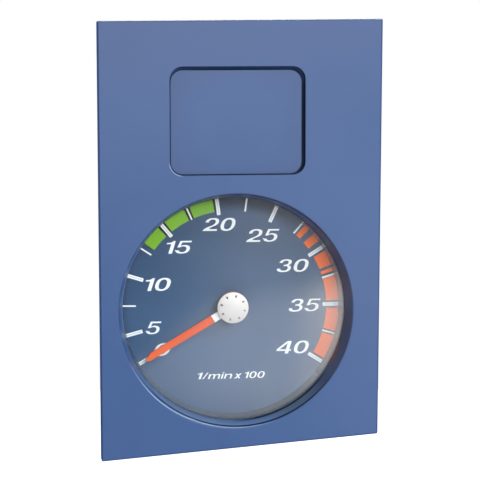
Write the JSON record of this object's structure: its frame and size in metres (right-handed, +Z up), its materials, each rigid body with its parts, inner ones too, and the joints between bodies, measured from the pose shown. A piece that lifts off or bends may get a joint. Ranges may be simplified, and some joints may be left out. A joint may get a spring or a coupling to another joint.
{
  "type": "panel tachometer",
  "caption": "Moulded dashboard fascia with a blanked window above a deep-set round engine speed dial, with its case, movement and lamps behind.",
  "frame": {"origin": "centre of the four fixing inserts, on the plane of their mouths behind the fascia", "axes": "+X to the right as the dial is read, +Y back from the face into the dashboard, +Z up along the fascia"},
  "size_m": [0.1017, 0.0648, 0.1573],
  "materials": {
    "fascia_blue": "satin moulded plastic, mid slate blue",
    "spring_steel": "stamped spring steel",
    "brass": "turned and stamped brass",
    "seal_rubber": "black moulded rubber",
    "clear_lens": "clear moulded acrylic",
    "spacer_grey": "glossy grey plastic",
    "dial_blue": "printed slate blue plastic sheet",
    "pointer_orange": "orange-red moulded plastic",
    "cap_white": "white moulded plastic",
    "bright_steel": "plated steel",
    "magnet_grey": "dark sintered magnet",
    "former_cream": "cream moulded plastic",
    "coil_copper": "enamelled copper winding",
    "board_green": "lacquered circuit board",
    "capacitor_blue": "shrink sleeve over a metal can",
    "resistor_tan": "lacquered resistor body",
    "case_black": "black moulded plastic",
    "strip_brown": "brown moulded resin",
    "holder_grey": "pale grey moulded plastic",
    "lamp_glass": "clear lamp glass"
  },
  "bodies": {
    "instrument": {"fascia": "fascia_blue", "window_blank": "fascia_blue", "blank_clips": "spring_steel", "fixing_inserts": "brass", "lens_seal": "seal_rubber", "lens": "clear_lens", "spacer_ring": "spacer_grey", "dial_plate": "dial_blue", "light_guide": "clear_lens", "zero_stop_pin": "bright_steel", "former_front": "former_cream", "former_rear": "former_cream", "coil_inner": "coil_copper", "coil_outer": "coil_copper", "front_bush": "brass", "rear_bearing": "brass", "return_magnet": "magnet_grey", "shield_can": "bright_steel", "movement_screws": "bright_steel", "circuit_board": "board_green", "driver_chip": "case_black", "capacitors": "capacitor_blue", "resistors": "resistor_tan", "board_screws": "bright_steel", "housing": "case_black", "housing_screws": "bright_steel", "terminal_strip": "strip_brown", "terminal_blades": "brass"},
    "needle": {"pointer": "pointer_orange", "pointer_cap": "cap_white", "spindle": "bright_steel", "rotor_magnet": "magnet_grey", "stop_sector": "brass"},
    "left_lamp": {"lamp_holder_left": "holder_grey", "lamp_bulb_left": "lamp_glass"},
    "right_lamp": {"lamp_holder_right": "holder_grey", "lamp_bulb_right": "lamp_glass"}
  },
  "joints": [
    {"name": "pointer_sweep", "type": "hinge", "parent": "instrument", "child": "needle", "pos_m": [-0.0017, 0, -0.0287], "axis": [0, 1, 0], "range_deg": [0, 242.9], "stiffness_Nm_per_rad": 0.002, "springref_deg": -1.15},
    {"name": "left_lamp_twist", "type": "hinge", "parent": "instrument", "child": "left_lamp", "pos_m": [-0.0246, 0.04, -0.0126], "axis": [0, 1, 0], "range_deg": [0, 80]},
    {"name": "right_lamp_twist", "type": "hinge", "parent": "instrument", "child": "right_lamp", "pos_m": [0.0212, 0.04, -0.0126], "axis": [0, 1, 0], "range_deg": [0, 80]}
  ]
}
